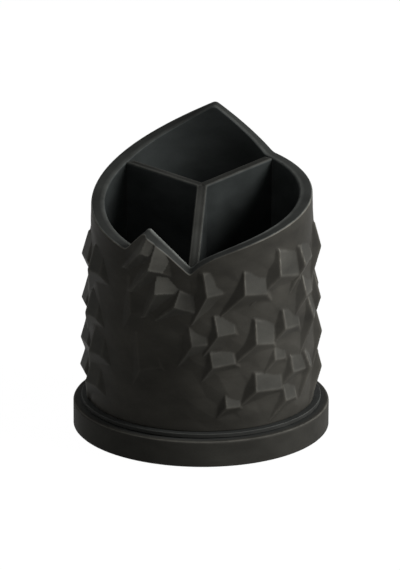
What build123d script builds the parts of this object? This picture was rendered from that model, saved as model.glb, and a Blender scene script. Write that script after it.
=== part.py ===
from build123d import *
import os
from math import ceil, cos, degrees, radians, sin, sqrt

# Driving dimensions, in millimetres and degrees
base_diameter = 100.0
base_height = 10.5
apex_height = 119.6
shoulder_height = 101.8
peak_height = 94.3
left_notch_height = 83.0
front_notch_height = 77.2
hub_height = 98.6
wall_thickness = 4.7
floor_thickness = 5.0
leaf_thickness = 4.0
ball_diameter = 4.0
ball_count = 12
screw_count = 3
foot_count = 4

# Angles round the rim, counted from the right-hand side, the back being 90
apex_angle = 82.7
shoulder_angle = 49.0
left_notch_angle = 228.0
peak_angle = 241.0
front_notch_angle = 264.5
left_leaf_angle = 138.5
right_leaf_angle = 46.5
front_leaf_angle = 265.0

# How the ramps of the rim climb: an ease below one climbs early, a bow below nought sags halfway
front_ease = 0.58
back_bow = -3.6

# Clearances
bearing_gap = 0.4
ball_clearance = 0.1
pocket_clearance = 0.15
cage_clearance = 0.4
post_clearance = 0.05
seat_clearance = 0.1
screw_clearance = 0.05

# Stack of the swivel, from the table up
foot_stand = 0.8
foot_radius = 5.0
foot_recess = 1.2
foot_bevel = 0.4
base_radius = base_diameter / 2
base_top = foot_stand + base_height
deck_share = 0.54
deck_bottom = base_top - deck_share * base_height
skirt_thickness = 3.0
base_edge = 1.0
base_bevel = 0.4
plate_step = 3.2
plate_radius = base_radius - plate_step
plate_edge = 1.5
plate_round = 0.3
plate_bottom = base_top + bearing_gap
plate_top = plate_bottom + plate_edge
spigot_height = 3.0
spigot_top = plate_top + spigot_height
floor_top = spigot_top + floor_thickness

# Cup wall: a slight cone that narrows towards the rim
cup_step = 2.6
wall_taper = 1.8
bore_taper = 0.6
cup_foot_radius = plate_radius - cup_step
cup_rim_radius = cup_foot_radius - wall_taper
bore_rim_radius = cup_rim_radius - wall_thickness
bore_floor_radius = bore_rim_radius - bore_taper
bore_round = 1.5
spigot_inset = 0.2
spigot_radius = bore_rim_radius - spigot_inset
stock_margin = 6.0
stock_top = apex_height + stock_margin
cutter_margin = 8.0
ramp_step = 12.0

# Divider
groove_depth = 1.0
left_leaf_rise = 1.4
right_leaf_rise = 2.4

# Bearing and pivot
race_share = 0.6
race_radius = race_share * base_radius
ball_radius = ball_diameter / 2
ball_sink = 0.5
ball_height = base_top - ball_sink
race_reach = sqrt(2) * (ball_radius + ball_clearance)
cage_half_width = 2.7
cage_thickness = 1.8
channel_depth = 2.2
channel_floor = base_top - channel_depth
channel_half_width = cage_half_width + cage_clearance
post_radius = 6.0
boss_radius = 11.0
boss_stand = 3.0
boss_bottom = foot_stand + boss_stand
post_drop = 0.2
post_bottom = boss_bottom - post_drop
washer_radius = 10.0
washer_thickness = 1.0
screw_radius = 1.5
screw_head_radius = 3.0
screw_head_height = 1.4
screw_bevel = 0.4
pivot_screw_length = 6.5
cup_screw_circle = 16.0
cup_screw_sink = 1.8
cup_screw_bite = 4.0
first_screw_angle = 30.0
foot_circle_share = 0.72
foot_circle = foot_circle_share * base_radius
first_foot_angle = 45.0
pad_wall = 3.0
pad_radius = foot_radius + pad_wall
rib_thickness = 2.0
rib_overlap = 1.0

# Chips of the relief are low shingles. Places on a chip are in shares of its reach: across from the tip, and up
chip_root = 3.6
chip_sink = 0.25
crest_fall = 0.55
top_left_foot = (-0.13, 1.03)
low_left_foot = (-1.1, -1.35)
top_right_foot = (0.0, 0.9)
low_right_foot = (0.7, -0.7)
least_top = 0.6

# Chips seen from the front: angle and height of the tip, reach, breadth of the crest, proud, roll
front_chips = [
    (-119.7, 82.9, 8.0, 0.80, 2.4, -25.0),
    (-111.9, 69.2, 8.0, 0.95, 2.6, 4.0),
    (-103.4, 63.7, 6.5, 1.20, 2.2, -15.0),
    (-87.4, 68.5, 9.0, 0.64, 2.8, 4.0),
    (-68.9, 68.5, 8.3, 1.20, 3.2, -10.0),
    (-49.0, 73.3, 9.7, 1.30, 3.2, -14.0),
    (-45.5, 51.3, 7.1, 1.38, 3.0, -8.0),
    (-63.0, 48.0, 9.0, 0.95, 3.3, -12.0),
    (-84.6, 39.9, 5.5, 1.60, 2.6, 5.0),
    (-63.0, 28.7, 6.8, 1.90, 3.0, -8.0),
    (-40.0, 32.6, 6.0, 1.70, 2.8, -10.0),
    (-77.8, 23.2, 5.0, 1.10, 2.4, -3.0),
    (-30.0, 74.0, 7.5, 1.20, 3.2, 4.0),
    (-20.0, 50.0, 9.0, 0.80, 3.0, 6.0),
    (-24.0, 30.4, 7.5, 0.50, 2.8, 8.0),
    (-94.6, 48.4, 8.0, 0.70, 2.0, 4.0),
    (-82.0, 52.5, 7.5, 0.90, 2.4, 4.0),
    (-51.0, 39.5, 6.5, 0.90, 1.8, -8.0),
    (-45.0, 22.0, 6.0, 1.20, 2.6, -6.0),
    (-28.0, 61.0, 7.5, 1.10, 2.8, -4.0),
    (-128.0, 58.0, 15.0, 0.60, 0.9, 10.0),
    (-122.0, 36.0, 15.0, 0.60, 0.9, 16.0),
]

# Rows of chips that go on round the right, back and left: heights and angles of the two ends
chip_rows = [
    (26.0, 23.0, -6.0, 198.0),
    (39.5, 36.5, -2.0, 202.0),
    (55.0, 50.5, -8.0, 196.0),
    (75.0, 69.0, -5.0, 199.0),
    (90.0, 86.0, 50.0, 150.0),
]
row_step = 20.4
row_reach = 9.5
row_breadth = 0.8
row_proud = 3.4

# Sway of the chips along a row, and the two beats it follows
sway_angle = 2.5
sway_height = 2.0
sway_reach = 1.2
sway_breadth = 0.3
sway_proud = 0.4
sway_roll = 20.0
slow_beat = 1.7
quick_beat = 2.4


def upright(angle):
    """Upright plane through the axis at an angle: local x outwards, local y up."""
    out = (cos(radians(angle)), sin(radians(angle)), 0)
    side = (sin(radians(angle)), -cos(radians(angle)), 0)
    return Plane(origin=(0, 0, 0), x_dir=out, z_dir=side)


def post(radius, bottom, top):
    """Round post on the axis between two heights."""
    return Pos(0, 0, bottom) * Cylinder(radius, top - bottom, align=(Align.CENTER, Align.CENTER, Align.MIN))


def ring(inner, outer, bottom, top):
    """Round ring on the axis between two heights."""
    return post(outer, bottom, top) - post(inner, bottom, top)


def at_circle(radius, angle):
    """Place on a circle about the axis."""
    return Pos(radius * cos(radians(angle)), radius * sin(radians(angle)), 0)


def turned(points):
    """Solid of revolution from a closed outline of radius and height."""
    return revolve(make_face(Plane.XZ * Polyline(*points, close=True)), Axis.Z)


def wall_radius(height):
    """Radius of the plain cup wall at a height."""
    rise = (height - plate_top) / (apex_height - plate_top)
    return cup_foot_radius + (cup_rim_radius - cup_foot_radius) * rise


def on_wall(angle, height, proud):
    """Point at an angle and a height, proud of the plain wall or sunk in it."""
    far = wall_radius(height) + proud
    return Vector(far * cos(radians(angle)), far * sin(radians(angle)), height)


def chip(angle, height, reach, breadth, proud, roll):
    """Low shingle: a proud crest and four feet on the wall, closed by a heart inside the wall."""

    def place(across, up, out):
        """Point of the chip, turned by its roll and wrapped on the wall."""
        side = reach * (across * cos(radians(roll)) - up * sin(radians(roll)))
        rise = reach * (across * sin(radians(roll)) + up * cos(radians(roll)))
        return on_wall(angle + degrees(side / wall_radius(height)), height + rise, out)

    tip = place(0, 0, proud)
    end = place(breadth, 0, crest_fall * proud)
    heart = place(breadth / 2, 0, -chip_root)
    top_left = place(*top_left_foot, -chip_sink)
    low_left = place(*low_left_foot, -chip_sink)
    top_right = place(max(least_top, breadth + top_right_foot[0]), top_right_foot[1], -chip_sink)
    low_right = place(breadth + low_right_foot[0], low_right_foot[1], -chip_sink)
    corners = [
        (tip, end, top_right),
        (tip, top_right, top_left),
        (tip, top_left, low_left),
        (tip, low_left, low_right),
        (tip, low_right, end),
        (end, low_right, top_right),
        (heart, top_left, top_right),
        (heart, top_right, low_right),
        (heart, low_right, low_left),
        (heart, low_left, top_left),
    ]
    return Solid(Shell([Face(Wire.make_polygon(corner)) for corner in corners]))


def chip_row(first_height, last_height, first, last):
    """Chips along one row, swaying about it most in the middle and not at all at its ends."""
    steps = round((last - first) / row_step)
    row = []
    for index in range(steps + 1):
        part = index / steps
        sway = 4 * part * (1 - part)
        quick = sway * sin(quick_beat * (index + first_height))
        slow = sway * cos(slow_beat * (index + first_height))
        row.append(
            chip(
                first + (last - first) * part + sway_angle * slow,
                first_height + (last_height - first_height) * part + sway_height * quick,
                row_reach + sway_reach * slow,
                row_breadth + sway_breadth * quick,
                row_proud + sway_proud * quick,
                sway_roll * quick * slow,
            )
        )
    return row


def rim_cutter(start, start_height, end, end_height, ease, bow):
    """Block above one ramp of the rim, lofted through upright sections."""
    steps = max(1, ceil((end - start) / ramp_step))
    inner = bore_floor_radius - cutter_margin
    outer = base_radius + cutter_margin
    sections = []
    for step in range(steps + 1):
        part = step / steps
        low = start_height + (end_height - start_height) * part**ease + 4 * bow * part * (1 - part)
        middle = Pos((inner + outer) / 2, (low + stock_top) / 2)
        sections.append(upright(start + (end - start) * part) * middle * Rectangle(outer - inner, stock_top - low))
    return loft(sections, ruled=steps == 1)


def leaf(angle, reach, wall_height):
    """One upright leaf of the divider, from the axis out to the wall."""
    outline = Polyline((0, floor_top), (reach, floor_top), (reach, wall_height), (0, hub_height), close=True)
    return extrude(upright(angle) * make_face(outline), leaf_thickness / 2, both=True)


def screw(head_bottom, length):
    """Screw that points up, its round head below."""
    head = post(screw_head_radius, head_bottom, head_bottom + screw_head_height)
    head = chamfer(head.edges().group_by(Axis.Z)[0], screw_bevel)
    return head + post(screw_radius, head_bottom + screw_head_height, head_bottom + screw_head_height + length)


nodes = {}

# Cup: cone wall with its chips, bored out, hollow foot, rim cut in ramps
cup = turned([(0, plate_top), (cup_foot_radius, plate_top), (wall_radius(stock_top), stock_top), (0, stock_top)])
cup = cup + [chip(*row) for row in front_chips]
for row in chip_rows:
    cup = cup + chip_row(*row)
cup = cup - post(base_radius, foot_stand, plate_top)
bore_top_radius = bore_floor_radius + bore_taper * (stock_top - floor_top) / (apex_height - floor_top)
bore = turned([(0, floor_top), (bore_floor_radius, floor_top), (bore_top_radius, stock_top), (0, stock_top)])
bore = fillet(bore.edges().group_by(Axis.Z)[0], bore_round)
cup = cup - bore - post(spigot_radius + seat_clearance, plate_top, spigot_top)
ramps = [
    (front_notch_angle - 360, front_notch_height, shoulder_angle, shoulder_height, front_ease, 0),
    (shoulder_angle, shoulder_height, apex_angle, apex_height, 1, 0),
    (apex_angle, apex_height, left_notch_angle, left_notch_height, 1, back_bow),
    (left_notch_angle, left_notch_height, peak_angle, peak_height, 1, 0),
    (peak_angle, peak_height, front_notch_angle, front_notch_height, 1, 0),
]
for ramp in ramps:
    cup = cup - rim_cutter(*ramp)

# Divider: three leaves that slide into grooves in the wall
leaf_reach = bore_rim_radius + groove_depth - seat_clearance
divider = leaf(left_leaf_angle, leaf_reach, hub_height + left_leaf_rise)
divider = divider + leaf(right_leaf_angle, leaf_reach, hub_height + right_leaf_rise)
divider = divider + leaf(front_leaf_angle, leaf_reach, front_notch_height)
for angle in (left_leaf_angle, right_leaf_angle, front_leaf_angle):
    groove = Pos((bore_rim_radius + groove_depth) / 2, 0, (floor_top + stock_top) / 2) * Box(
        bore_rim_radius + groove_depth, leaf_thickness + 2 * post_clearance, stock_top - floor_top
    )
    cup = cup - Rot(Z=angle) * groove
nodes["divider"] = divider

# Turntable plate: flange seen under the cup, spigot in its foot, post down through the base
plate = post(plate_radius, plate_bottom, plate_top)
plate = fillet(plate.edges().group_by(Axis.Z)[-1], plate_round)
plate = plate + post(spigot_radius, plate_top, spigot_top) + post(post_radius, post_bottom, plate_bottom)
race = turned(
    [
        (race_radius - race_reach, ball_height),
        (race_radius, ball_height - race_reach),
        (race_radius + race_reach, ball_height),
        (race_radius, ball_height + race_reach),
    ]
)
plate = plate - race

# Screws that hold the plate to the cup
head_bottom = plate_bottom + cup_screw_sink - screw_head_height
screw_length = spigot_top + cup_screw_bite - head_bottom - screw_head_height
screw_top = spigot_top + cup_screw_bite
for index in range(screw_count):
    place = at_circle(cup_screw_circle, first_screw_angle + 360 * index / screw_count)
    nodes["cup_screw_%d" % (index + 1)] = place * screw(head_bottom, screw_length)
    plate = plate - place * post(screw_head_radius + seat_clearance, plate_bottom, plate_bottom + cup_screw_sink)
    plate = plate - place * post(screw_radius + screw_clearance, plate_bottom, spigot_top)
    cup = cup - place * post(screw_radius + screw_clearance, spigot_top, screw_top)
nodes["cup"] = cup

# Pivot screw and washer under the post
washer_bottom = post_bottom - washer_thickness
pivot_head_bottom = washer_bottom - screw_head_height
pivot_hole = screw_radius + screw_clearance
pivot_tip = washer_bottom + pivot_screw_length
nodes["pivot_washer"] = ring(pivot_hole, washer_radius, washer_bottom, post_bottom)
nodes["pivot_screw"] = screw(pivot_head_bottom, pivot_screw_length)
nodes["turntable_plate"] = plate - post(pivot_hole, post_bottom, pivot_tip)

# Ball cage and balls, between the grooves of the plate and the base
cage_bottom = channel_floor + cage_clearance
cage = ring(race_radius - cage_half_width, race_radius + cage_half_width, cage_bottom, cage_bottom + cage_thickness)
for index in range(ball_count):
    place = at_circle(race_radius, 360 * index / ball_count)
    cage = cage - place * post(ball_radius + pocket_clearance, cage_bottom, cage_bottom + cage_thickness)
    nodes["ball_%d" % (index + 1)] = place * Pos(0, 0, ball_height) * Sphere(ball_radius)
nodes["ball_cage"] = cage

# Base: skirted disc with a ball channel on top, a bored boss, ribs and foot pads below
base = post(base_radius, foot_stand, base_top)
base = fillet(base.edges().group_by(Axis.Z)[-1], base_edge)
base = chamfer(base.edges().group_by(Axis.Z)[0], base_bevel)
base = base - post(base_radius - skirt_thickness, foot_stand, deck_bottom)
base = base - ring(race_radius - channel_half_width, race_radius + channel_half_width, channel_floor, base_top)
base = base - race
base = base + post(boss_radius, boss_bottom, deck_bottom)
rib_start = boss_radius - rib_overlap
rib_end = base_radius - skirt_thickness / 2
for index in range(foot_count):
    angle = first_foot_angle + 360 * index / foot_count
    rib = Pos((rib_start + rib_end) / 2, 0, (boss_bottom + deck_bottom) / 2) * Box(
        rib_end - rib_start, rib_thickness, deck_bottom - boss_bottom
    )
    base = base + Rot(Z=angle) * rib + at_circle(foot_circle, angle) * post(pad_radius, foot_stand, deck_bottom)
    base = base - at_circle(foot_circle, angle) * post(foot_radius + seat_clearance, foot_stand, foot_stand + foot_recess)
    foot = post(foot_radius, 0, foot_stand + foot_recess)
    foot = chamfer(foot.edges().group_by(Axis.Z)[0], foot_bevel)
    nodes["foot_%d" % (index + 1)] = at_circle(foot_circle, angle) * foot
nodes["base"] = base - post(post_radius + post_clearance, boss_bottom, base_top)

os.makedirs("parts", exist_ok=True)
for name, solid in nodes.items():
    export_step(solid, "parts/%s.step" % name)
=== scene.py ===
"""Looks of a black pen holder with a chipped rock wall, whose cup turns on a round base."""

from math import cos, pi, radians, sin

import bmesh
import bpy
import numpy as np
from mathutils import Matrix, Vector


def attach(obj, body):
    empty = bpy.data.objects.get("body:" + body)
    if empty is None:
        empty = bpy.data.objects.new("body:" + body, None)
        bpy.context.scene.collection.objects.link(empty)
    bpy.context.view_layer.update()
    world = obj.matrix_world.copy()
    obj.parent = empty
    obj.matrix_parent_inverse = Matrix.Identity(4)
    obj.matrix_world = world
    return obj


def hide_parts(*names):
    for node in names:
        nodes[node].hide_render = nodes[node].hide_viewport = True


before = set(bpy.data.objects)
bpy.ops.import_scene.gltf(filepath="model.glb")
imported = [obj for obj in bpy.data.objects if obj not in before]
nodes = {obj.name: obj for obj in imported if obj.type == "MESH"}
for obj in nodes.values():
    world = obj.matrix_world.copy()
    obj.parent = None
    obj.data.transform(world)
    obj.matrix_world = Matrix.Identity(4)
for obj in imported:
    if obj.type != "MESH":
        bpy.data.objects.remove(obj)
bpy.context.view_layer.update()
mm = 0.001

# Cup, with the sizes of the solid
foot_height = 13.2 * mm
floor_height = 21.2 * mm
apex_height = 119.6 * mm
plate_radius = 46.8 * mm
plate_step = 2.6 * mm
wall_taper = 1.8 * mm
rim_thickness = 4.7 * mm
bore_taper = 0.6 * mm
floor_thickness = 5.0 * mm
recess_inset = 0.1 * mm
cup_foot_radius = plate_radius - plate_step
cup_rim_radius = cup_foot_radius - wall_taper
bore_rim_radius = cup_rim_radius - rim_thickness
bore_floor_radius = bore_rim_radius - bore_taper
recess_radius = bore_rim_radius - recess_inset
recess_height = floor_height - floor_thickness

# Roundings of the cup: floor of the bore, outer edge and inner edge of the rim
bore_round = 1.5 * mm
rim_round = 0.6 * mm
lip_round = 0.9 * mm

# Grid of the cup: sections round the axis, and the rings of a section from the foot to the bore's floor
cup_sections = 480
front_crowding = 0.4
recess_middle = 0.3
foot_rings = 3
wall_rings = 168
round_rings = 5
half_round = 2
worn_rings = 4
across_rim = (0.33, 0.67)
bore_rings = 13
floor_middle = 0.4
weld_distance = 0.001 * mm

# Divider: leaves at the right, the left and the front, which end just inside the cup's wall
leaf_angles = (46.5, 138.5, 265.0)
leaf_thickness = 4.0 * mm
leaf_bite = 0.1 * mm
leaf_ease = 0.3 * mm
leaf_round = 0.6 * mm
leaf_bends = 7
right_leaf_rise = 2.4 * mm
left_leaf_rise = 1.4 * mm
hub_height = 98.6 * mm

# Rim, with a small peak that is lower and further left than the solid's
front_notch_height = 77.2 * mm
shoulder_height = 101.8 * mm
left_notch_height = 83.0 * mm
peak_height = 92.2 * mm
rim_ease = 1.5
rim_ease_steps = 9

# Ramps of the rim: first angle and height, last angle and height, ease, bow
rim_ramps = [
    (-95.5, front_notch_height, 49.0, shoulder_height, 0.58, 0.0),
    (49.0, shoulder_height, 82.7, apex_height, 1.0, 0.0),
    (82.7, apex_height, 227.0, left_notch_height, 1.0, -3.6 * mm),
    (227.0, left_notch_height, 238.5, peak_height, 1.0, 0.0),
    (238.5, peak_height, 264.5, front_notch_height, 1.0, 0.6 * mm),
]

# Edges of the rim by angle: how far the outer and the inner one fall under the ramp, in mm
outer_falls = [(226.0, 0.0), (239.0, 1.0), (264.0, 1.2), (276.0, 0.0)]
inner_falls = [(60.0, 0.0), (82.0, 0.6), (100.0, 1.2), (140.0, 1.2), (185.0, 0.0)]

# Edges of the rim by angle: how much the outer and the inner one are lightened, as wear and as a painted
# highlight where light catches them
outer_wear_and_highlight = [
    (232.0, 1.7), (240.0, 1.4), (264.0, 1.2), (270.0, 0.4), (284.0, 0.4), (300.0, 1.5), (320.0, 1.7),
]
inner_wear_and_highlight = [
    (228.0, 0.7), (238.0, 2.6), (260.0, 2.6), (268.0, 0.8), (280.0, 1.6), (310.0, 2.2), (335.0, 0.7),
]

# Form of a chip, in shares of its reach: upper left, upper right, lower right, lower left foot, crest's end
chip_spots = [(-0.13, 1.03), (0.0, 0.9), (0.7, -0.7), (-1.1, -1.35), (0.0, 0.0)]
least_top = 0.6
front_lean = 0.2
chip_slack = 0.02
ledge_share = 0.1
chip_sink = 0.25 * mm
ridge_width = 0.35 * mm
least_lit_proud = 1.2
least_slope = 1e-12
upper_facet, under_facet, left_facet, right_facet = range(4)
no_facet = -1

# Chips about the small peak: tip's angle and height, reach, breadth, proud, roll, share at the crest's end
peak_chips = [
    (-120.9, 83.6, 8.0, 0.40, 3.0, -16.0, 0.60),
    (-116.4, 77.6, 9.5, 0.55, 3.4, -10.0, 0.40),
    (-113.2, 68.2, 8.0, 0.95, 2.6, 4.0, 0.15),
    (-103.4, 63.7, 6.5, 1.20, 2.2, -15.0, 0.55),
    (-128.0, 58.0, 15.0, 0.60, 0.9, 10.0, 0.55),
    (-122.0, 36.0, 15.0, 0.60, 0.9, 16.0, 0.55),
]

# Chips at the front, in the same order of values, whose left edges lean further
front_chips = [
    (-87.4, 68.5, 9.0, 0.66, 2.8, 5.0, 0.30),
    (-68.9, 68.5, 8.3, 1.20, 3.2, -10.0, 0.55),
    (-49.0, 73.3, 9.7, 1.30, 3.2, -14.0, 0.55),
    (-45.5, 51.3, 7.1, 1.38, 3.0, -8.0, 0.55),
    (-63.0, 48.0, 9.0, 0.95, 3.3, -12.0, 0.55),
    (-84.6, 39.9, 5.5, 1.60, 2.6, 5.0, 0.55),
    (-63.0, 28.7, 6.8, 1.90, 3.0, -8.0, 0.55),
    (-40.0, 32.6, 6.0, 1.70, 2.8, -10.0, 0.55),
    (-77.8, 23.2, 5.0, 1.10, 2.4, -3.0, 0.55),
    (-30.0, 74.0, 7.5, 1.20, 3.2, 4.0, 0.55),
    (-20.0, 50.0, 9.0, 0.80, 3.0, 6.0, 0.55),
    (-24.0, 30.4, 7.5, 0.50, 2.8, 8.0, 0.55),
    (-94.6, 48.4, 8.0, 0.70, 2.0, 4.0, 0.55),
    (-82.0, 52.5, 7.5, 0.90, 2.4, 4.0, 0.55),
    (-51.0, 39.5, 6.5, 0.90, 1.8, -8.0, 0.55),
    (-45.0, 22.0, 6.0, 1.20, 2.6, -6.0, 0.55),
    (-28.0, 61.0, 7.5, 1.10, 2.8, -4.0, 0.55),
]

# Rows of chips round the right, back and left: heights and angles of the ends, count
chip_rows = [
    (26.0, 23.0, -6.0, 198.0, 11),
    (39.5, 36.5, -2.0, 202.0, 11),
    (55.0, 50.5, -8.0, 196.0, 11),
    (75.0, 69.0, -5.0, 199.0, 11),
    (90.0, 86.0, 50.0, 150.0, 6),
]
row_reach = 9.5
row_breadth = 0.8
row_proud = 3.4
row_crest_share = 0.55

# Sway of the chips in a row: rates of the two waves, and how far they move each value
wave_rate = 2.4
swing_rate = 1.7
angle_sway = 2.5
height_sway = 2.0
reach_sway = 1.2
breadth_sway = 0.3
proud_sway = 0.4
roll_sway = 20.0

# Chisel marks between the chips, which fade out under the rim and over the foot
chisel_cell = 9.0 * mm
chisel_count = 31
chisel_slant = 0.5
chisel_low = -0.2 * mm
chisel_high = 0.8 * mm
column_chance = 12.9898
row_chance = 78.233
chance_spread = 43758.5453
rim_margin = 4 * mm
rim_fade = 7 * mm
foot_fade = 6 * mm

# Smooth face left of the front, where the chisel marks are lower
smooth_angle = -128.0
smooth_share = 0.3
smooth_turn = 20.0
smooth_fade = 12.0

# Easing of the wall's sharp edges: turn in degrees and lift between the places that are averaged
ease_turn = 0.22
ease_lift = 0.16 * mm

# Worn edges of the wall with a painted highlight along chip ridges, and painted shade on left facets, less
# of both by the foot and on the smooth face
blur_rounds = 3
edge_height = 0.1 * mm
edge_wear = 0.3
ridge_wear_and_highlight = 1.2
left_painted_shade = 0.5
least_mark_share = 0.3
mark_turn = 36.0
mark_fade = 14.0
mark_height = 15 * mm
mark_rise = 40 * mm

# Painted light on facets: upper ones lighter, most near the small peak, the peak's left flank lighter, and
# some facets of the smooth face lighter
smooth_painted_light = 0.8
peak_painted_light = 3.2
bright_angle = 243.0
bright_turn = 7.2
bright_fade = 12.0
flank_angle = 235.0
flank_turn = 3.0
flank_fade = 6.0
flank_height = 79 * mm
flank_rise = 4 * mm

# Share of the inner shade colour, a darker and cooler painted shade, on the rim and on the tops of the
# leaves
rim_inside = 0.7
leaf_top_inside = 0.5

# Moulded skin: how much painted light lightens it, and how much of the inner shade colour it brings on
# facets with painted light
polish_gain = 0.38
painted_light_tint = 0.22
bump_strength = 0.3

# Studio: a floor that glows to the camera, and a world that is pale to the camera and gives little light
floor_reach = 8.0
floor_grey = 0.35
floor_glow = 1.08
floor_glow_share = 0.92
world_light = 0.035
overhead_share = 0.3

# Camera, fitted to a picture of 400 by 570
photo_height = 570.0
photo_scale = 2.572 / mm
photo_shift = -1.6
photo_tilt = 19.25
photo_roll = 0.25
photo_distance = 2.2
photo_aim = 57.5 * mm
sensor_size = 36.0
farthest_seen = 50.0


def climb(value, start, width, least=0.0):
    """Straight climb from nought at the start to one a width further on, never under a least value."""
    return np.clip((value - start) / width, least, 1.0)


def turn_from(angle, middle):
    """Turn in degrees from a middle angle, the short way round."""
    return np.mod(angle - middle + 180.0, 360.0) - 180.0


def wall_radius(height):
    """Radius of the plain cone wall: it shrinks in a straight line from the foot to the apex."""
    rise = (height - foot_height) / (apex_height - foot_height)
    return cup_foot_radius + (cup_rim_radius - cup_foot_radius) * rise


def on_wall(angle, height, proud):
    """Points at angles in degrees and heights, proud of the plain wall."""
    far = wall_radius(height) + proud
    return np.stack([far * np.cos(np.radians(angle)), far * np.sin(np.radians(angle)), height], axis=-1)


def all_chips():
    """The chips of the peak and the front, then the rows, each with its lean.

    A row sways by a sine and a cosine of its count, most in its middle.
    """
    chips = [(*chip, 0.0) for chip in peak_chips] + [(*chip, front_lean) for chip in front_chips]
    for first_height, last_height, first, last, count in chip_rows:
        for index in range(count):
            part = index / (count - 1)
            sway = 4 * part * (1 - part)
            wave = sway * sin(wave_rate * (index + first_height))
            swing = sway * cos(swing_rate * (index + first_height))
            height = first_height + (last_height - first_height) * part
            angle = first + (last - first) * part
            chips.append((
                angle + angle_sway * swing, height + height_sway * wave, row_reach + reach_sway * swing,
                row_breadth + breadth_sway * wave, row_proud + proud_sway * wave, roll_sway * wave * swing,
                row_crest_share, 0.0,
            ))
    return chips


def rim_height(angle):
    """Height of the rim: on each ramp the part of the way to a power, plus a parabola of the ramp's bow."""
    height = np.zeros_like(angle)
    for start, low, end, high, ease, bow in rim_ramps:
        part = np.mod(angle - start, 360.0) / (end - start)
        ramp = low + (high - low) * np.minimum(part, 1.0) ** ease + 4 * bow * part * (1 - part)
        height = np.where(part <= 1.0, ramp, height)
    return height


def soft_rim(angle):
    """The rim with its peaks and notches rounded: the mean of the rim over a few degrees."""
    spans = np.linspace(-rim_ease, rim_ease, rim_ease_steps)
    return np.mean([rim_height(angle + span) for span in spans], axis=0)


def along_rim(angle, places):
    """Value that goes in straight lines from place to place along the rim: angle and value of each."""
    angles, values = zip(*places)
    return np.interp(np.mod(angle, 360.0), angles, values)


def chisel(angle, height):
    """Low flat chisel marks: chance heights on a slanted lattice, with a plane over each of its triangles.

    They fade out under the rim and over the foot, and to a share on the smooth face.
    """
    up = height / chisel_cell
    across = angle / 360.0 * chisel_count + chisel_slant * up
    row = np.floor(up)
    column = np.floor(across)
    b = up - row
    a = across - column

    def chance(right, above):
        """Chance height at a corner of the lattice, from a quick sine of its numbers."""
        place = column_chance * np.mod(column + right, chisel_count) + row_chance * (row + above)
        return np.mod(chance_spread * np.sin(place), 1.0)

    low = chance(0, 0) * (1 - a - b) + chance(1, 0) * a + chance(0, 1) * b
    high = chance(1, 1) * (a + b - 1) + chance(0, 1) * (1 - a) + chance(1, 0) * (1 - b)
    mark = chisel_low + (chisel_high - chisel_low) * np.where(a + b < 1.0, low, high)
    beside = np.abs(turn_from(angle, smooth_angle))
    share = smooth_share + (1 - smooth_share) * climb(beside, smooth_turn, smooth_fade)
    share = share * climb(rim_height(angle) - height, rim_margin, rim_fade)
    return mark * share * climb(height, foot_height, foot_fade)


def chip_outline(reach, breadth, roll, lean):
    """Feet of a chip and its crest's end, as steps to the right of its tip and up from it.

    The form is widened by the breadth, its upper left foot leans out, and all of it is rolled and scaled.
    """
    spots = np.array(chip_spots)
    spots[[1, 2, 4], 0] += breadth
    spots[0, 0] -= lean
    spots[1, 0] = max(spots[1, 0], least_top)
    turn = radians(roll)
    return spots @ np.array([[cos(turn), sin(turn)], [-sin(turn), cos(turn)]]) * reach * mm


def chip_facets(tip_angle, tip_height, spots, proud, crest_share):
    """Three corners of a chip's upper, under, left and right facet.

    The feet are sunk in the plain wall, and the upper facet ends on a low ledge between the upper feet.
    """
    angles = tip_angle + np.degrees(spots[:, 0] / wall_radius(tip_height))
    heights = tip_height + spots[:, 1]
    feet = on_wall(angles[:4], heights[:4], -chip_sink)
    tip = on_wall(np.float64(tip_angle), np.float64(tip_height), proud)
    end = on_wall(angles[4], heights[4], crest_share * proud)
    ledge = on_wall(angles[:2].mean(), heights[:2].mean(), ledge_share * proud)
    under = (feet[2] + feet[3]) / 2
    return [(tip, end, ledge), (tip, end, under), (tip, feet[0], feet[3]), (end, feet[1], feet[2])]


def facet_radius(corners, across, along, height):
    """Radius where a line straight out from the axis at a height meets the plane of three corners."""
    first, second, third = corners
    normal = np.cross(second - first, third - first)
    normal = normal * np.sign(normal @ (first * [1, 1, 0]))
    depth = normal @ first - normal[2] * height
    return depth / np.maximum(normal[0] * across + normal[1] * along, least_slope)


def within(feet, right, up, slack):
    """Whether places lie inside the outline of a chip's feet, or outside it by less than the slack."""
    inside = np.ones_like(up, dtype=bool)
    for foot, other in zip(feet, np.roll(feet, 1, axis=0)):
        side = (other[0] - foot[0]) * (up - foot[1]) - (other[1] - foot[1]) * (right - foot[0])
        inside &= side > -slack * np.hypot(*(other - foot))
    return inside


def relief(angle, height):
    """Radius of the chipped wall: a chip is the lowest of its facet planes, and the highest chip shows.

    Given with it are the facet in sight, none for the wall and low chips, and a mark of the ridge between
    the upper and the left facet, where their planes come close.
    """
    radius = wall_radius(height) + chisel(angle, height)
    facet = np.full_like(height, no_facet)
    ridge = np.zeros_like(height)
    across = np.cos(np.radians(angle))
    along = np.sin(np.radians(angle))
    for tip_angle, tip_height, reach, breadth, proud, roll, crest_share, lean in all_chips():
        tip_height = tip_height * mm
        spots = chip_outline(reach, breadth, roll, lean)
        facets = chip_facets(tip_angle, tip_height, spots, proud * mm, crest_share)
        sheets = [facet_radius(corners, across, along, height) for corners in facets]
        chip = np.min(sheets, axis=0)
        right = np.radians(turn_from(angle, tip_angle)) * wall_radius(tip_height)
        above = within(spots[:4], right, height - tip_height, chip_slack * reach * mm) & (chip > radius)
        # Only chips proud enough get facet marks, which carry painted light and shade and the painted ridge
        # highlight
        lit_chip = proud > least_lit_proud
        facet = np.where(above, np.argmin(sheets, axis=0) if lit_chip else no_facet, facet)
        apart = np.maximum(sheets[upper_facet], sheets[left_facet]) - chip
        ridge = np.where(above, lit_chip * (1.0 - climb(apart, 0.0, ridge_width)), ridge)
        radius = np.where(above, chip, radius)
    return radius, facet, ridge


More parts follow.
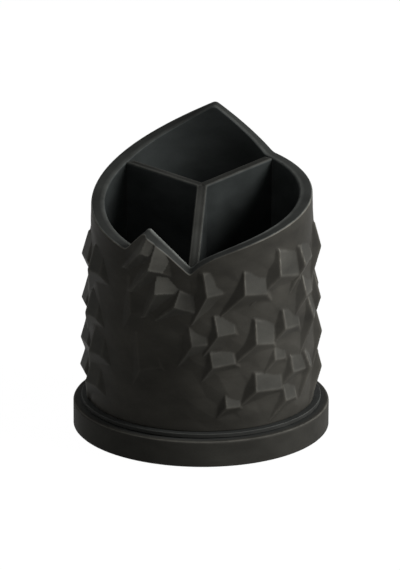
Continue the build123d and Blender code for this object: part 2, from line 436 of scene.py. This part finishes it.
def soft_relief(angle, height):
    """The chipped wall with its sharp edges eased: the mean of five places a little apart."""
    turns = (ease_turn, -ease_turn)
    lifts = (ease_lift, -ease_lift)
    places = [(0, 0)] + [(turn, lift) for lift in lifts for turn in turns]
    return np.mean([relief(angle + turn, height + lift)[0] for turn, lift in places], axis=0)


def closed_grid(name, rings, marks):
    """Mesh of rings stacked into a grid that closes round its axis, with a fan to a point at each end."""
    count, columns, _ = rings.shape
    poles = np.stack([rings[0].mean(axis=0), rings[-1].mean(axis=0)])
    points = np.concatenate([rings.reshape(-1, 3), poles])
    grid = np.arange(count * columns).reshape(count, columns)
    ahead = np.roll(grid, -1, axis=1)
    quads = np.stack([grid[:-1], ahead[:-1], ahead[1:], grid[1:]], axis=-1).reshape(-1, 4)
    first = np.stack([np.full(columns, count * columns), ahead[0], grid[0]], axis=-1)
    last = np.stack([grid[-1], ahead[-1], np.full(columns, count * columns + 1)], axis=-1)
    corners = np.concatenate([quads.ravel(), first.ravel(), last.ravel()])
    sizes = np.concatenate([np.full(len(quads), 4), np.full(2 * columns, 3)])
    starts = np.concatenate([[0], np.cumsum(sizes)[:-1]])
    mesh = bpy.data.meshes.new(name)
    mesh.vertices.add(len(points))
    mesh.vertices.foreach_set("co", points.astype(np.float32).ravel())
    mesh.loops.add(len(corners))
    mesh.loops.foreach_set("vertex_index", corners.astype(np.int32))
    mesh.polygons.add(len(sizes))
    mesh.polygons.foreach_set("loop_start", starts.astype(np.int32))
    mesh.polygons.foreach_set("loop_total", sizes.astype(np.int32))
    mesh.update(calc_edges=True)
    for label, mark in marks.items():
        layer = mesh.attributes.new(label, "FLOAT", "POINT")
        layer.data.foreach_set("value", np.append(mark, [mark[0, 0], mark[-1, 0]]).astype(np.float32))
    work = bmesh.new()
    work.from_mesh(mesh)
    bmesh.ops.remove_doubles(work, verts=work.verts, dist=weld_distance)
    work.to_mesh(mesh)
    work.free()
    mesh.shade_smooth()
    piece = bpy.data.objects.new(name, mesh)
    bpy.context.scene.collection.objects.link(piece)
    return piece


def wall_marks(angle, height, radius):
    """Worn edges, painted highlights, and painted light and shade of the chipped wall.

    An edge is lightened as wear by how far the wall stands out from its own blur, and gets a painted
    highlight along a chip's ridge. Upper facets get painted light, most of all near the small peak, and so
    does the peak's left flank. Left facets get painted shade. On the smooth face the under facets, and left
    of its middle the right ones, get painted light too.
    """
    blur = radius
    for _ in range(blur_rounds):
        padded = np.pad(blur, ((1, 1), (0, 0)), mode="edge")
        blur = (padded[:-2] + padded[2:] + np.roll(blur, 1, axis=1) + np.roll(blur, -1, axis=1)) / 4
    _, facet, ridge = relief(angle, height)
    side = turn_from(angle, smooth_angle)
    beside = np.abs(side)
    mark_share = climb(beside, mark_turn, mark_fade, least_mark_share)
    mark_share = mark_share * climb(height, mark_height, mark_rise, least_mark_share)
    # Edges worn by how far they stand out, plus a painted highlight along chip ridges
    edge = edge_wear * climb(radius - blur, 0.0, edge_height) + ridge_wear_and_highlight * mark_share * ridge
    # Places of painted light: upper facets near the small peak, the peak's left flank, and the smooth face
    bright = 1.0 - climb(np.abs(turn_from(angle, bright_angle)), bright_turn, bright_fade)
    flank = 1.0 - climb(np.abs(turn_from(angle, flank_angle)), flank_turn, flank_fade)
    flank = flank * climb(height, flank_height, flank_rise)
    smooth = 1.0 - climb(beside, mark_turn, mark_fade)
    # Painted light on upper facets and some smooth-face facets, painted shade on left facets
    painted_light = (1.0 + peak_painted_light * bright) * (facet == upper_facet)
    painted_light -= left_painted_shade * mark_share * (facet == left_facet)
    painted_light += smooth_painted_light * smooth * ((facet == under_facet) | ((facet == right_facet) & (side < 0.0)))
    painted_light += peak_painted_light * flank * ((facet == left_facet) | (facet == no_facet))
    return edge, painted_light


def cup_skin():
    """Cup as one closed section carried round the axis: hollow foot, chipped wall, rim, bore and floor.

    The sections stand closer at the front: a sine of the angle is added to the angle.
    """
    turn = np.arange(cup_sections) * 360.0 / cup_sections
    angle = turn + np.degrees(front_crowding) * np.sin(np.radians(turn - 90.0))
    flat = np.ones(cup_sections)
    rim = soft_rim(angle)
    outer_rim = rim - along_rim(angle, outer_falls) * mm
    inner_rim = rim - along_rim(angle, inner_falls) * mm
    rise = np.linspace(0.0, 1.0, wall_rings)[:, None]
    height = foot_height + (outer_rim - rim_round - foot_height) * rise
    turns = np.broadcast_to(angle, height.shape)
    wall = soft_relief(turns, height)
    outer = wall[-1]
    inner = bore_rim_radius - bore_taper * (apex_height - rim) / (apex_height - floor_height)
    bends = np.linspace(0.0, pi / 2, round_rings + 1)
    section = [
        (recess_middle * recess_radius * flat, recess_height * flat),
        (recess_radius * flat, recess_height * flat),
        (recess_radius * flat, foot_height * flat),
    ]
    section += zip(wall, height)
    section += [
        (outer - rim_round * (1 - cos(bend)), outer_rim - rim_round * (1 - sin(bend))) for bend in bends[1:]
    ]
    for part in across_rim:
        across = (outer - rim_round) * (1 - part) + (inner + lip_round) * part
        section.append((across, outer_rim * (1 - part) + inner_rim * part))
    section += [
        (inner + lip_round * (1 - sin(bend)), inner_rim - lip_round * (1 - cos(bend))) for bend in bends
    ]
    for part in np.linspace(0.0, 1.0, bore_rings + 1)[1:]:
        down = (inner_rim - lip_round) * (1 - part) + (floor_height + bore_round) * part
        section.append((inner * (1 - part) + bore_floor_radius * part, down))
    for bend in bends[1:]:
        across = bore_floor_radius - bore_round * (1 - cos(bend))
        section.append((across * flat, (floor_height + bore_round * (1 - sin(bend))) * flat))
    section.append((floor_middle * bore_floor_radius * flat, floor_height * flat))
    radii, heights = np.moveaxis(np.array(section), 1, 0)
    rings = np.stack(
        [radii * np.cos(np.radians(angle)), radii * np.sin(np.radians(angle)), heights], axis=-1
    )
    rim_first = foot_rings + wall_rings
    lip_first = rim_first + round_rings + len(across_rim)
    edge = np.zeros_like(radii)
    painted_light = np.zeros_like(radii)
    inside = np.zeros_like(radii)
    # Wall: worn edges with painted ridge highlights, and painted light and shade on its facets
    edge[foot_rings:rim_first], painted_light[foot_rings:rim_first] = wall_marks(turns, height, wall)
    # Rim edges: worn and painted highlight lines, stronger where light catches them
    edge[rim_first:rim_first + worn_rings] = along_rim(angle, outer_wear_and_highlight)
    edge[lip_first:lip_first + worn_rings] = along_rim(angle, inner_wear_and_highlight)
    # Painted shade: the darker, cooler inner shade colour on the rim and over the bore and floor
    inside[rim_first + half_round:] = rim_inside
    inside[lip_first + half_round + 1:] = 1.0
    return closed_grid("cup_skin", rings, {"edge": edge, "painted_light": painted_light, "inside": inside})


def divider_skin():
    """Three leaves as one outline carried up in rings: straight tops from the hub, with rounded edges."""
    reach = bore_rim_radius + leaf_bite
    full = leaf_thickness / 2
    angles = np.radians(leaf_angles)
    tops = np.array([hub_height + right_leaf_rise, hub_height + left_leaf_rise, front_notch_height])
    spread = np.mod(np.roll(angles, -1) - angles, 2 * pi) / 2

    def ring(half, out, drop, low=False):
        """Outline with a half thickness and a reach, sunk by a drop under the tops or laid on the floor.

        Each leaf gives its two sides, its end and the corner with the next leaf, at the mean of their tops.
        """
        ahead = half / np.tan(spread)
        behind = np.roll(ahead, 1)
        ends = np.full(3, out)
        far = np.stack([
            behind + leaf_ease, ends - leaf_ease, ends, ends, ends - leaf_ease, ahead + leaf_ease, ahead,
        ], axis=1)
        side = half * np.array([-1, -1, -1, 1, 1, 1, 1])
        x = far * np.cos(angles)[:, None] - side * np.sin(angles)[:, None]
        y = far * np.sin(angles)[:, None] + side * np.cos(angles)[:, None]
        z = hub_height + (tops - hub_height)[:, None] * far / reach - drop
        z[:, 6] = (z[:, 6] + np.roll(z[:, 0], -1)) / 2
        if low:
            z[:] = floor_height
        return np.stack([x, y, z], axis=-1).reshape(-1, 3)

    under_round = 1.6 * leaf_round
    past_round = 1.4 * leaf_round
    rings = [
        ring(0.0, reach, 0.0, low=True),
        ring(full, reach, 0.0, low=True),
        ring(full, reach, under_round),
    ]
    first_bend = len(rings)
    for bend in np.linspace(0.0, pi / 2, leaf_bends):
        inset = leaf_round * (1 - cos(bend))
        rings.append(ring(full - inset, reach - inset, leaf_round * (1 - sin(bend))))
    rings.append(ring(full - past_round, reach - past_round, 0.0))
    rings.append(ring(0.0, reach - full, 0.0))
    rings = np.array(rings)
    # Rounded tops of the leaves: worn edges with a painted highlight
    edge = np.zeros(rings.shape[:2])
    edge[first_bend:first_bend + leaf_bends] = 1.0
    # Painted shade: the leaves' sides in the inner shade colour, their tops half of it
    inside = np.ones_like(edge)
    inside[first_bend + half_round:] = leaf_top_inside
    return closed_grid("divider_skin", rings, {"edge": edge, "inside": inside})


def group_of(name, inputs, outputs):
    """Empty shader group with its sockets and its two end nodes."""
    group = bpy.data.node_groups.new(name, "ShaderNodeTree")
    for label, kind in inputs:
        group.interface.new_socket(label, in_out="INPUT", socket_type=kind)
    for label, kind in outputs:
        group.interface.new_socket(label, in_out="OUTPUT", socket_type=kind)
    return group, group.nodes.new("NodeGroupInput"), group.nodes.new("NodeGroupOutput")


def noise(tree, vector, scale, detail):
    """Noise texture on a vector output; gives its value output."""
    node = tree.nodes.new("ShaderNodeTexNoise")
    node.inputs["Scale"].default_value = scale
    node.inputs["Detail"].default_value = detail
    tree.links.new(vector, node.inputs["Vector"])
    return node.outputs["Fac"]


def blend(tree, share, low, high):
    """Mix of two numbers, each a socket or a constant, by a share socket."""
    node = tree.nodes.new("ShaderNodeMix")
    tree.links.new(share, node.inputs["Factor"])
    for label, value in (("A", low), ("B", high)):
        if isinstance(value, float):
            node.inputs[label].default_value = value
        else:
            tree.links.new(value, node.inputs[label])
    return node.outputs["Result"]


def arithmetic(tree, kind, first, second, third=1.0):
    """Arithmetic on a socket and a socket or constant, with a third constant where the kind takes one."""
    node = tree.nodes.new("ShaderNodeMath")
    node.operation = kind
    tree.links.new(first, node.inputs[0])
    if isinstance(second, float):
        node.inputs[1].default_value = second
    else:
        tree.links.new(second, node.inputs[1])
    node.inputs[2].default_value = third
    return node.outputs["Value"]


def scaled_colour(tree, colour, factor):
    """Colour socket times a number socket."""
    node = tree.nodes.new("ShaderNodeVectorMath")
    node.operation = "SCALE"
    tree.links.new(colour, node.inputs[0])
    tree.links.new(factor, node.inputs["Scale"])
    return node.outputs["Vector"]


def marked(tree, label):
    """Value of a mark that the mesh carries, nought where it has none."""
    node = tree.nodes.new("ShaderNodeAttribute")
    node.attribute_name = label
    return node.outputs["Fac"]


def tinted(tree, share, first, second):
    """Mix of two colour sockets by a share socket."""
    node = tree.nodes.new("ShaderNodeMix")
    node.data_type = "RGBA"
    colours = [socket for socket in node.inputs if socket.type == "RGBA"]
    tree.links.new(share, node.inputs["Factor"])
    tree.links.new(first, colours[0])
    tree.links.new(second, colours[1])
    return [socket for socket in node.outputs if socket.type == "RGBA"][0]


def ring_group():
    """Mask of a thin circle about the axis, at a radius and a height: one on it, nought a width away."""
    group, start, end = group_of(
        "edge circle",
        [("Radius", "NodeSocketFloat"), ("Height", "NodeSocketFloat"), ("Width", "NodeSocketFloat")],
        [("Mask", "NodeSocketFloat")],
    )
    parts = group.nodes.new("ShaderNodeSeparateXYZ")
    group.links.new(group.nodes.new("ShaderNodeTexCoord").outputs["Object"], parts.inputs["Vector"])

    def length(first, second):
        """Length of the long side over two short ones: the root of the sum of their squares."""
        squares = [arithmetic(group, "MULTIPLY", short, short) for short in (first, second)]
        return arithmetic(group, "POWER", arithmetic(group, "ADD", *squares), 0.5)

    out = length(parts.outputs["X"], parts.outputs["Y"])
    out = arithmetic(group, "SUBTRACT", out, start.outputs["Radius"])
    up = arithmetic(group, "SUBTRACT", parts.outputs["Z"], start.outputs["Height"])
    off = arithmetic(group, "DIVIDE", length(out, up), start.outputs["Width"])
    near = group.nodes.new("ShaderNodeMapRange")
    near.interpolation_type = "SMOOTHSTEP"
    near.inputs["To Min"].default_value = 1.0
    near.inputs["To Max"].default_value = 0.0
    group.links.new(off, near.inputs["Value"])
    group.links.new(near.outputs["Result"], end.inputs["Mask"])
    return group


def moulded_group():
    """Moulded skin: cloudy tone and fine grain, paler on worn edges, painted highlights and facets with
    painted light.

    A darker, cooler second colour is painted shade inside, and a little of it goes on facets with painted
    light.
    """
    group, start, end = group_of(
        "moulded skin",
        [
            ("Colour", "NodeSocketColor"), ("Inner Shade Colour", "NodeSocketColor"),
            ("Roughness", "NodeSocketFloat"), ("Wear And Highlight", "NodeSocketFloat"), ("Edge", "NodeSocketFloat"),
            ("Inside", "NodeSocketFloat"),
        ],
        [("Colour", "NodeSocketColor"), ("Roughness", "NodeSocketFloat"), ("Height", "NodeSocketFloat")],
    )
    where = group.nodes.new("ShaderNodeTexCoord").outputs["Object"]
    smear = group.nodes.new("ShaderNodeMapping")
    smear.inputs["Rotation"].default_value = (0.0, radians(40.0), 0.0)
    smear.inputs["Scale"].default_value = (0.5, 1.0, 1.3)
    group.links.new(where, smear.inputs["Vector"])
    cloud = noise(group, smear.outputs["Vector"], scale=75.0, detail=3.0)
    grain = noise(group, where, scale=1500.0, detail=2.0)
    scuff = noise(group, where, scale=240.0, detail=5.0)
    # Edges lightened as wear and as a painted highlight
    edge = arithmetic(group, "ADD", marked(group, "edge"), start.outputs["Edge"])
    edge_light = arithmetic(group, "MULTIPLY", edge, scuff)
    edge_light = arithmetic(group, "MULTIPLY", edge_light, start.outputs["Wear And Highlight"])
    tone = blend(group, cloud, low=0.25, high=1.75)
    fleck = blend(group, grain, low=0.9, high=1.1)
    tone = arithmetic(group, "MULTIPLY", tone, fleck)
    tone = arithmetic(group, "ADD", tone, edge_light)
    # Painted light and shade on facets: lighter upper ones, darker left ones
    painted_light = marked(group, "painted_light")
    handled = arithmetic(group, "MULTIPLY_ADD", painted_light, polish_gain)
    tone = arithmetic(group, "MULTIPLY", tone, handled)
    # Painted shade: share of the darker, cooler inner shade colour, and a little on facets with painted
    # light
    inside = arithmetic(group, "ADD", marked(group, "inside"), start.outputs["Inside"])
    bared = arithmetic(group, "MULTIPLY", arithmetic(group, "MINIMUM", painted_light, 1.0), painted_light_tint)
    inside = arithmetic(group, "ADD", inside, bared)
    colour = tinted(group, inside, start.outputs["Colour"], start.outputs["Inner Shade Colour"])
    group.links.new(scaled_colour(group, colour, tone), end.inputs["Colour"])
    rough = blend(group, cloud, low=-0.08, high=0.08)
    group.links.new(arithmetic(group, "ADD", start.outputs["Roughness"], rough), end.inputs["Roughness"])
    group.links.new(grain, end.inputs["Height"])
    return group


def ground_group():
    """Ground metal: fine scratches round the axis in roughness and height, a little cloud in the tone."""
    group, start, end = group_of(
        "ground metal",
        [("Colour", "NodeSocketColor"), ("Roughness", "NodeSocketFloat")],
        [("Colour", "NodeSocketColor"), ("Roughness", "NodeSocketFloat"), ("Height", "NodeSocketFloat")],
    )
    where = group.nodes.new("ShaderNodeTexCoord").outputs["Object"]
    stretch = group.nodes.new("ShaderNodeMapping")
    stretch.inputs["Scale"].default_value = (1.0, 1.0, 12.0)
    group.links.new(where, stretch.inputs["Vector"])
    scratch = noise(group, stretch.outputs["Vector"], scale=900.0, detail=3.0)
    cloud = noise(group, where, scale=120.0, detail=3.0)
    tone = blend(group, cloud, low=0.88, high=1.06)
    group.links.new(scaled_colour(group, start.outputs["Colour"], tone), end.inputs["Colour"])
    rough = blend(group, scratch, low=-0.1, high=0.1)
    group.links.new(arithmetic(group, "ADD", start.outputs["Roughness"], rough), end.inputs["Roughness"])
    group.links.new(scratch, end.inputs["Height"])
    return group


moulded = moulded_group()
ground = ground_group()
edge_circle = ring_group()


def material_of(name, group, values, bump_height, specular=0.06, metallic=0.0, circles=None):
    """Material with colour, roughness and bump from a shared group, and masks of circles where given."""
    material = bpy.data.materials.new(name)
    material.use_nodes = True
    tree = material.node_tree
    shader = tree.nodes["Principled BSDF"]
    shader.inputs["Specular IOR Level"].default_value = specular
    shader.inputs["Metallic"].default_value = metallic
    skin = tree.nodes.new("ShaderNodeGroup")
    skin.node_tree = group
    for label, value in values.items():
        skin.inputs[label].default_value = value
    for target, (radius, height, width) in (circles or {}).items():
        ring = tree.nodes.new("ShaderNodeGroup")
        ring.node_tree = edge_circle
        ring.inputs["Radius"].default_value = radius * mm
        ring.inputs["Height"].default_value = height * mm
        ring.inputs["Width"].default_value = width * mm
        tree.links.new(ring.outputs["Mask"], skin.inputs[target])
    bump = tree.nodes.new("ShaderNodeBump")
    bump.inputs["Strength"].default_value = bump_strength
    bump.inputs["Distance"].default_value = bump_height
    tree.links.new(skin.outputs["Colour"], shader.inputs["Base Color"])
    tree.links.new(skin.outputs["Roughness"], shader.inputs["Roughness"])
    tree.links.new(skin.outputs["Height"], bump.inputs["Height"])
    tree.links.new(bump.outputs["Normal"], shader.inputs["Normal"])
    return material


def dress(piece, material):
    """Gives a piece one material."""
    piece.data.materials.clear()
    piece.data.materials.append(material)


def seen_rays(tree):
    """One for rays seen straight, in a mirror or through glass, nought for rays that only light."""
    path = tree.nodes.new("ShaderNodeLightPath")
    seen = arithmetic(tree, "MAXIMUM", path.outputs["Is Camera Ray"], path.outputs["Is Glossy Ray"])
    return arithmetic(tree, "MAXIMUM", seen, path.outputs["Is Transmission Ray"])


def pale_floor():
    """Wide floor that looks white by a glow for the camera and still keeps a shadow."""
    mesh = bpy.data.meshes.new("floor")
    corners = [(-1, -1), (1, -1), (1, 1), (-1, 1)]
    mesh.from_pydata([(x * floor_reach, y * floor_reach, 0) for x, y in corners], [], [(0, 1, 2, 3)])
    floor = bpy.data.objects.new("floor", mesh)
    bpy.context.scene.collection.objects.link(floor)
    material = bpy.data.materials.new("pale floor")
    material.use_nodes = True
    tree = material.node_tree
    shader = tree.nodes["Principled BSDF"]
    shader.inputs["Base Color"].default_value = (floor_grey, floor_grey, floor_grey, 1)
    shader.inputs["Roughness"].default_value = 0.9
    shader.inputs["Specular IOR Level"].default_value = 0.1
    glow = tree.nodes.new("ShaderNodeEmission")
    glow.inputs["Strength"].default_value = floor_glow
    both = tree.nodes.new("ShaderNodeMixShader")
    tree.links.new(arithmetic(tree, "MULTIPLY", seen_rays(tree), floor_glow_share), both.inputs["Fac"])
    tree.links.new(shader.outputs["BSDF"], both.inputs[1])
    tree.links.new(glow.outputs["Emission"], both.inputs[2])
    tree.links.new(both.outputs["Shader"], tree.nodes["Material Output"].inputs["Surface"])
    dress(floor, material)


def pale_world():
    """World that looks white at eye level and dims overhead, and lights the holder only a little."""
    world = bpy.data.worlds.new("studio")
    bpy.context.scene.world = world
    world.use_nodes = True
    tree = world.node_tree
    back = tree.nodes["Background"]
    back.inputs["Color"].default_value = (1, 1, 1, 1)
    parts = tree.nodes.new("ShaderNodeSeparateXYZ")
    tree.links.new(tree.nodes.new("ShaderNodeTexCoord").outputs["Generated"], parts.inputs["Vector"])
    dimmed = tree.nodes.new("ShaderNodeMapRange")
    dimmed.inputs["From Min"].default_value = 0.1
    dimmed.inputs["From Max"].default_value = 0.5
    dimmed.inputs["To Min"].default_value = 1.0
    dimmed.inputs["To Max"].default_value = overhead_share
    tree.links.new(parts.outputs["Z"], dimmed.inputs["Value"])
    strength = blend(tree, seen_rays(tree), low=world_light, high=dimmed.outputs["Result"])
    tree.links.new(strength, back.inputs["Strength"])


def area_lamp(name, place, aim, size, power):
    """Soft square lamp that points at a place."""
    lamp = bpy.data.lights.new(name, "AREA")
    lamp.size = size
    lamp.energy = power
    piece = bpy.data.objects.new(name, lamp)
    piece.location = place
    piece.rotation_euler = (Vector(aim) - Vector(place)).to_track_quat("-Z", "Y").to_euler()
    bpy.context.scene.collection.objects.link(piece)


def camera():
    """Long lens in front of the holder, looking a little down."""
    tilt = radians(photo_tilt)
    lens = bpy.data.cameras.new("photo view")
    lens.sensor_width = sensor_size
    lens.lens = sensor_size * photo_scale * photo_distance / photo_height
    lens.shift_x = photo_shift / photo_height
    lens.clip_end = farthest_seen
    piece = bpy.data.objects.new("photo view", lens)
    piece.location = (0.0, -photo_distance * cos(tilt), photo_aim + photo_distance * sin(tilt))
    turn = Matrix.Rotation(pi / 2 - tilt, 4, "X") @ Matrix.Rotation(radians(photo_roll), 4, "Z")
    piece.rotation_euler = turn.to_euler()
    bpy.context.scene.collection.objects.link(piece)
    bpy.context.scene.camera = piece


# Colours, and circles of painted edge highlight (partly wear) and of painted shade in the inner shade
# colour: radius, height and width in mm
# The inner shade colours are painted shade: darker and cooler than the plastic
black = {"Colour": (0.0370, 0.0352, 0.0302, 1), "Inner Shade Colour": (0.0240, 0.0268, 0.0262, 1)}
cool_shade = {"Inner Shade Colour": (0.0270, 0.0285, 0.0275, 1)}
base_black = {**cool_shade, "Colour": (0.0312, 0.0302, 0.0264, 1)}
# Plate and base circles: a painted highlight, partly wear, on the top edge, and painted shade by the joint
# with the piece above
plate_rings = {"Edge": (46.75, 13.15, 0.3), "Inside": (45.0, 13.2, 6.0)}
base_rings = {"Edge": (49.75, 11.1, 0.55), "Inside": (46.5, 11.6, 3.4)}
natural = {"Colour": (0.72, 0.71, 0.67, 1)}
polished_steel = {"Colour": (0.62, 0.62, 0.63, 1)}
zinc = {"Colour": (0.55, 0.55, 0.56, 1)}
rubber = {"Colour": (0.03, 0.03, 0.03, 1)}

materials = {
    "cup_black": material_of(
        "cup black", moulded, {**black, "Roughness": 0.6, "Wear And Highlight": 3.0}, bump_height=0.05 * mm
    ),
    "divider_black": material_of(
        "divider black", moulded, {**black, "Roughness": 0.6, "Wear And Highlight": 1.6}, bump_height=0.04 * mm
    ),
    "plate_black": material_of(
        "plate black", moulded, {**black, **cool_shade, "Roughness": 0.65, "Wear And Highlight": 2.4}, bump_height=0.03 * mm,
        circles=plate_rings,
    ),
    "base_black": material_of(
        "base black", moulded, {**base_black, "Roughness": 0.7, "Wear And Highlight": 3.4}, bump_height=0.03 * mm,
        circles=base_rings,
    ),
    "cage_plastic": material_of(
        "cage plastic", moulded, {**natural, "Roughness": 0.45, "Wear And Highlight": 0.0}, bump_height=0.03 * mm,
        specular=0.4,
    ),
    "ball_steel": material_of(
        "ball steel", ground, {**polished_steel, "Roughness": 0.16}, bump_height=0.002 * mm,
        specular=0.5, metallic=1.0,
    ),
    "steel": material_of(
        "zinc plated steel", ground, {**zinc, "Roughness": 0.34}, bump_height=0.01 * mm,
        specular=0.5, metallic=1.0,
    ),
    "foot_rubber": material_of(
        "foot rubber", moulded, {**rubber, "Roughness": 0.8, "Wear And Highlight": 0.0}, bump_height=0.04 * mm,
        specular=0.2,
    ),
}
slots = {"turntable_plate": "plate_black", "base": "base_black", "ball_cage": "cage_plastic"}

cup = cup_skin()
dress(cup, materials["cup_black"])
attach(cup, "cup")
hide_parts("cup")

divider = divider_skin()
dress(divider, materials["divider_black"])
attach(divider, "cup")
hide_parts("divider")

for name, node in nodes.items():
    if name.startswith("foot"):
        dress(node, materials["foot_rubber"])
    elif name.startswith("ball_") and name != "ball_cage":
        dress(node, materials["ball_steel"])
    elif name not in ("cup", "divider"):
        dress(node, materials[slots.get(name, "steel")])

pale_floor()
pale_world()
area_lamp("key", place=(0.92, -0.25, 0.52), aim=(0, 0, 0.05), size=0.5, power=14.0)
area_lamp("fill", place=(-0.2, -0.75, 0.95), aim=(0, 0, 0.06), size=0.6, power=2.3)
area_lamp("top", place=(0.0, 0.3, 1.0), aim=(0, 0, 0.06), size=0.5, power=0.8)
bpy.context.scene.view_settings.view_transform = "Standard"
camera()
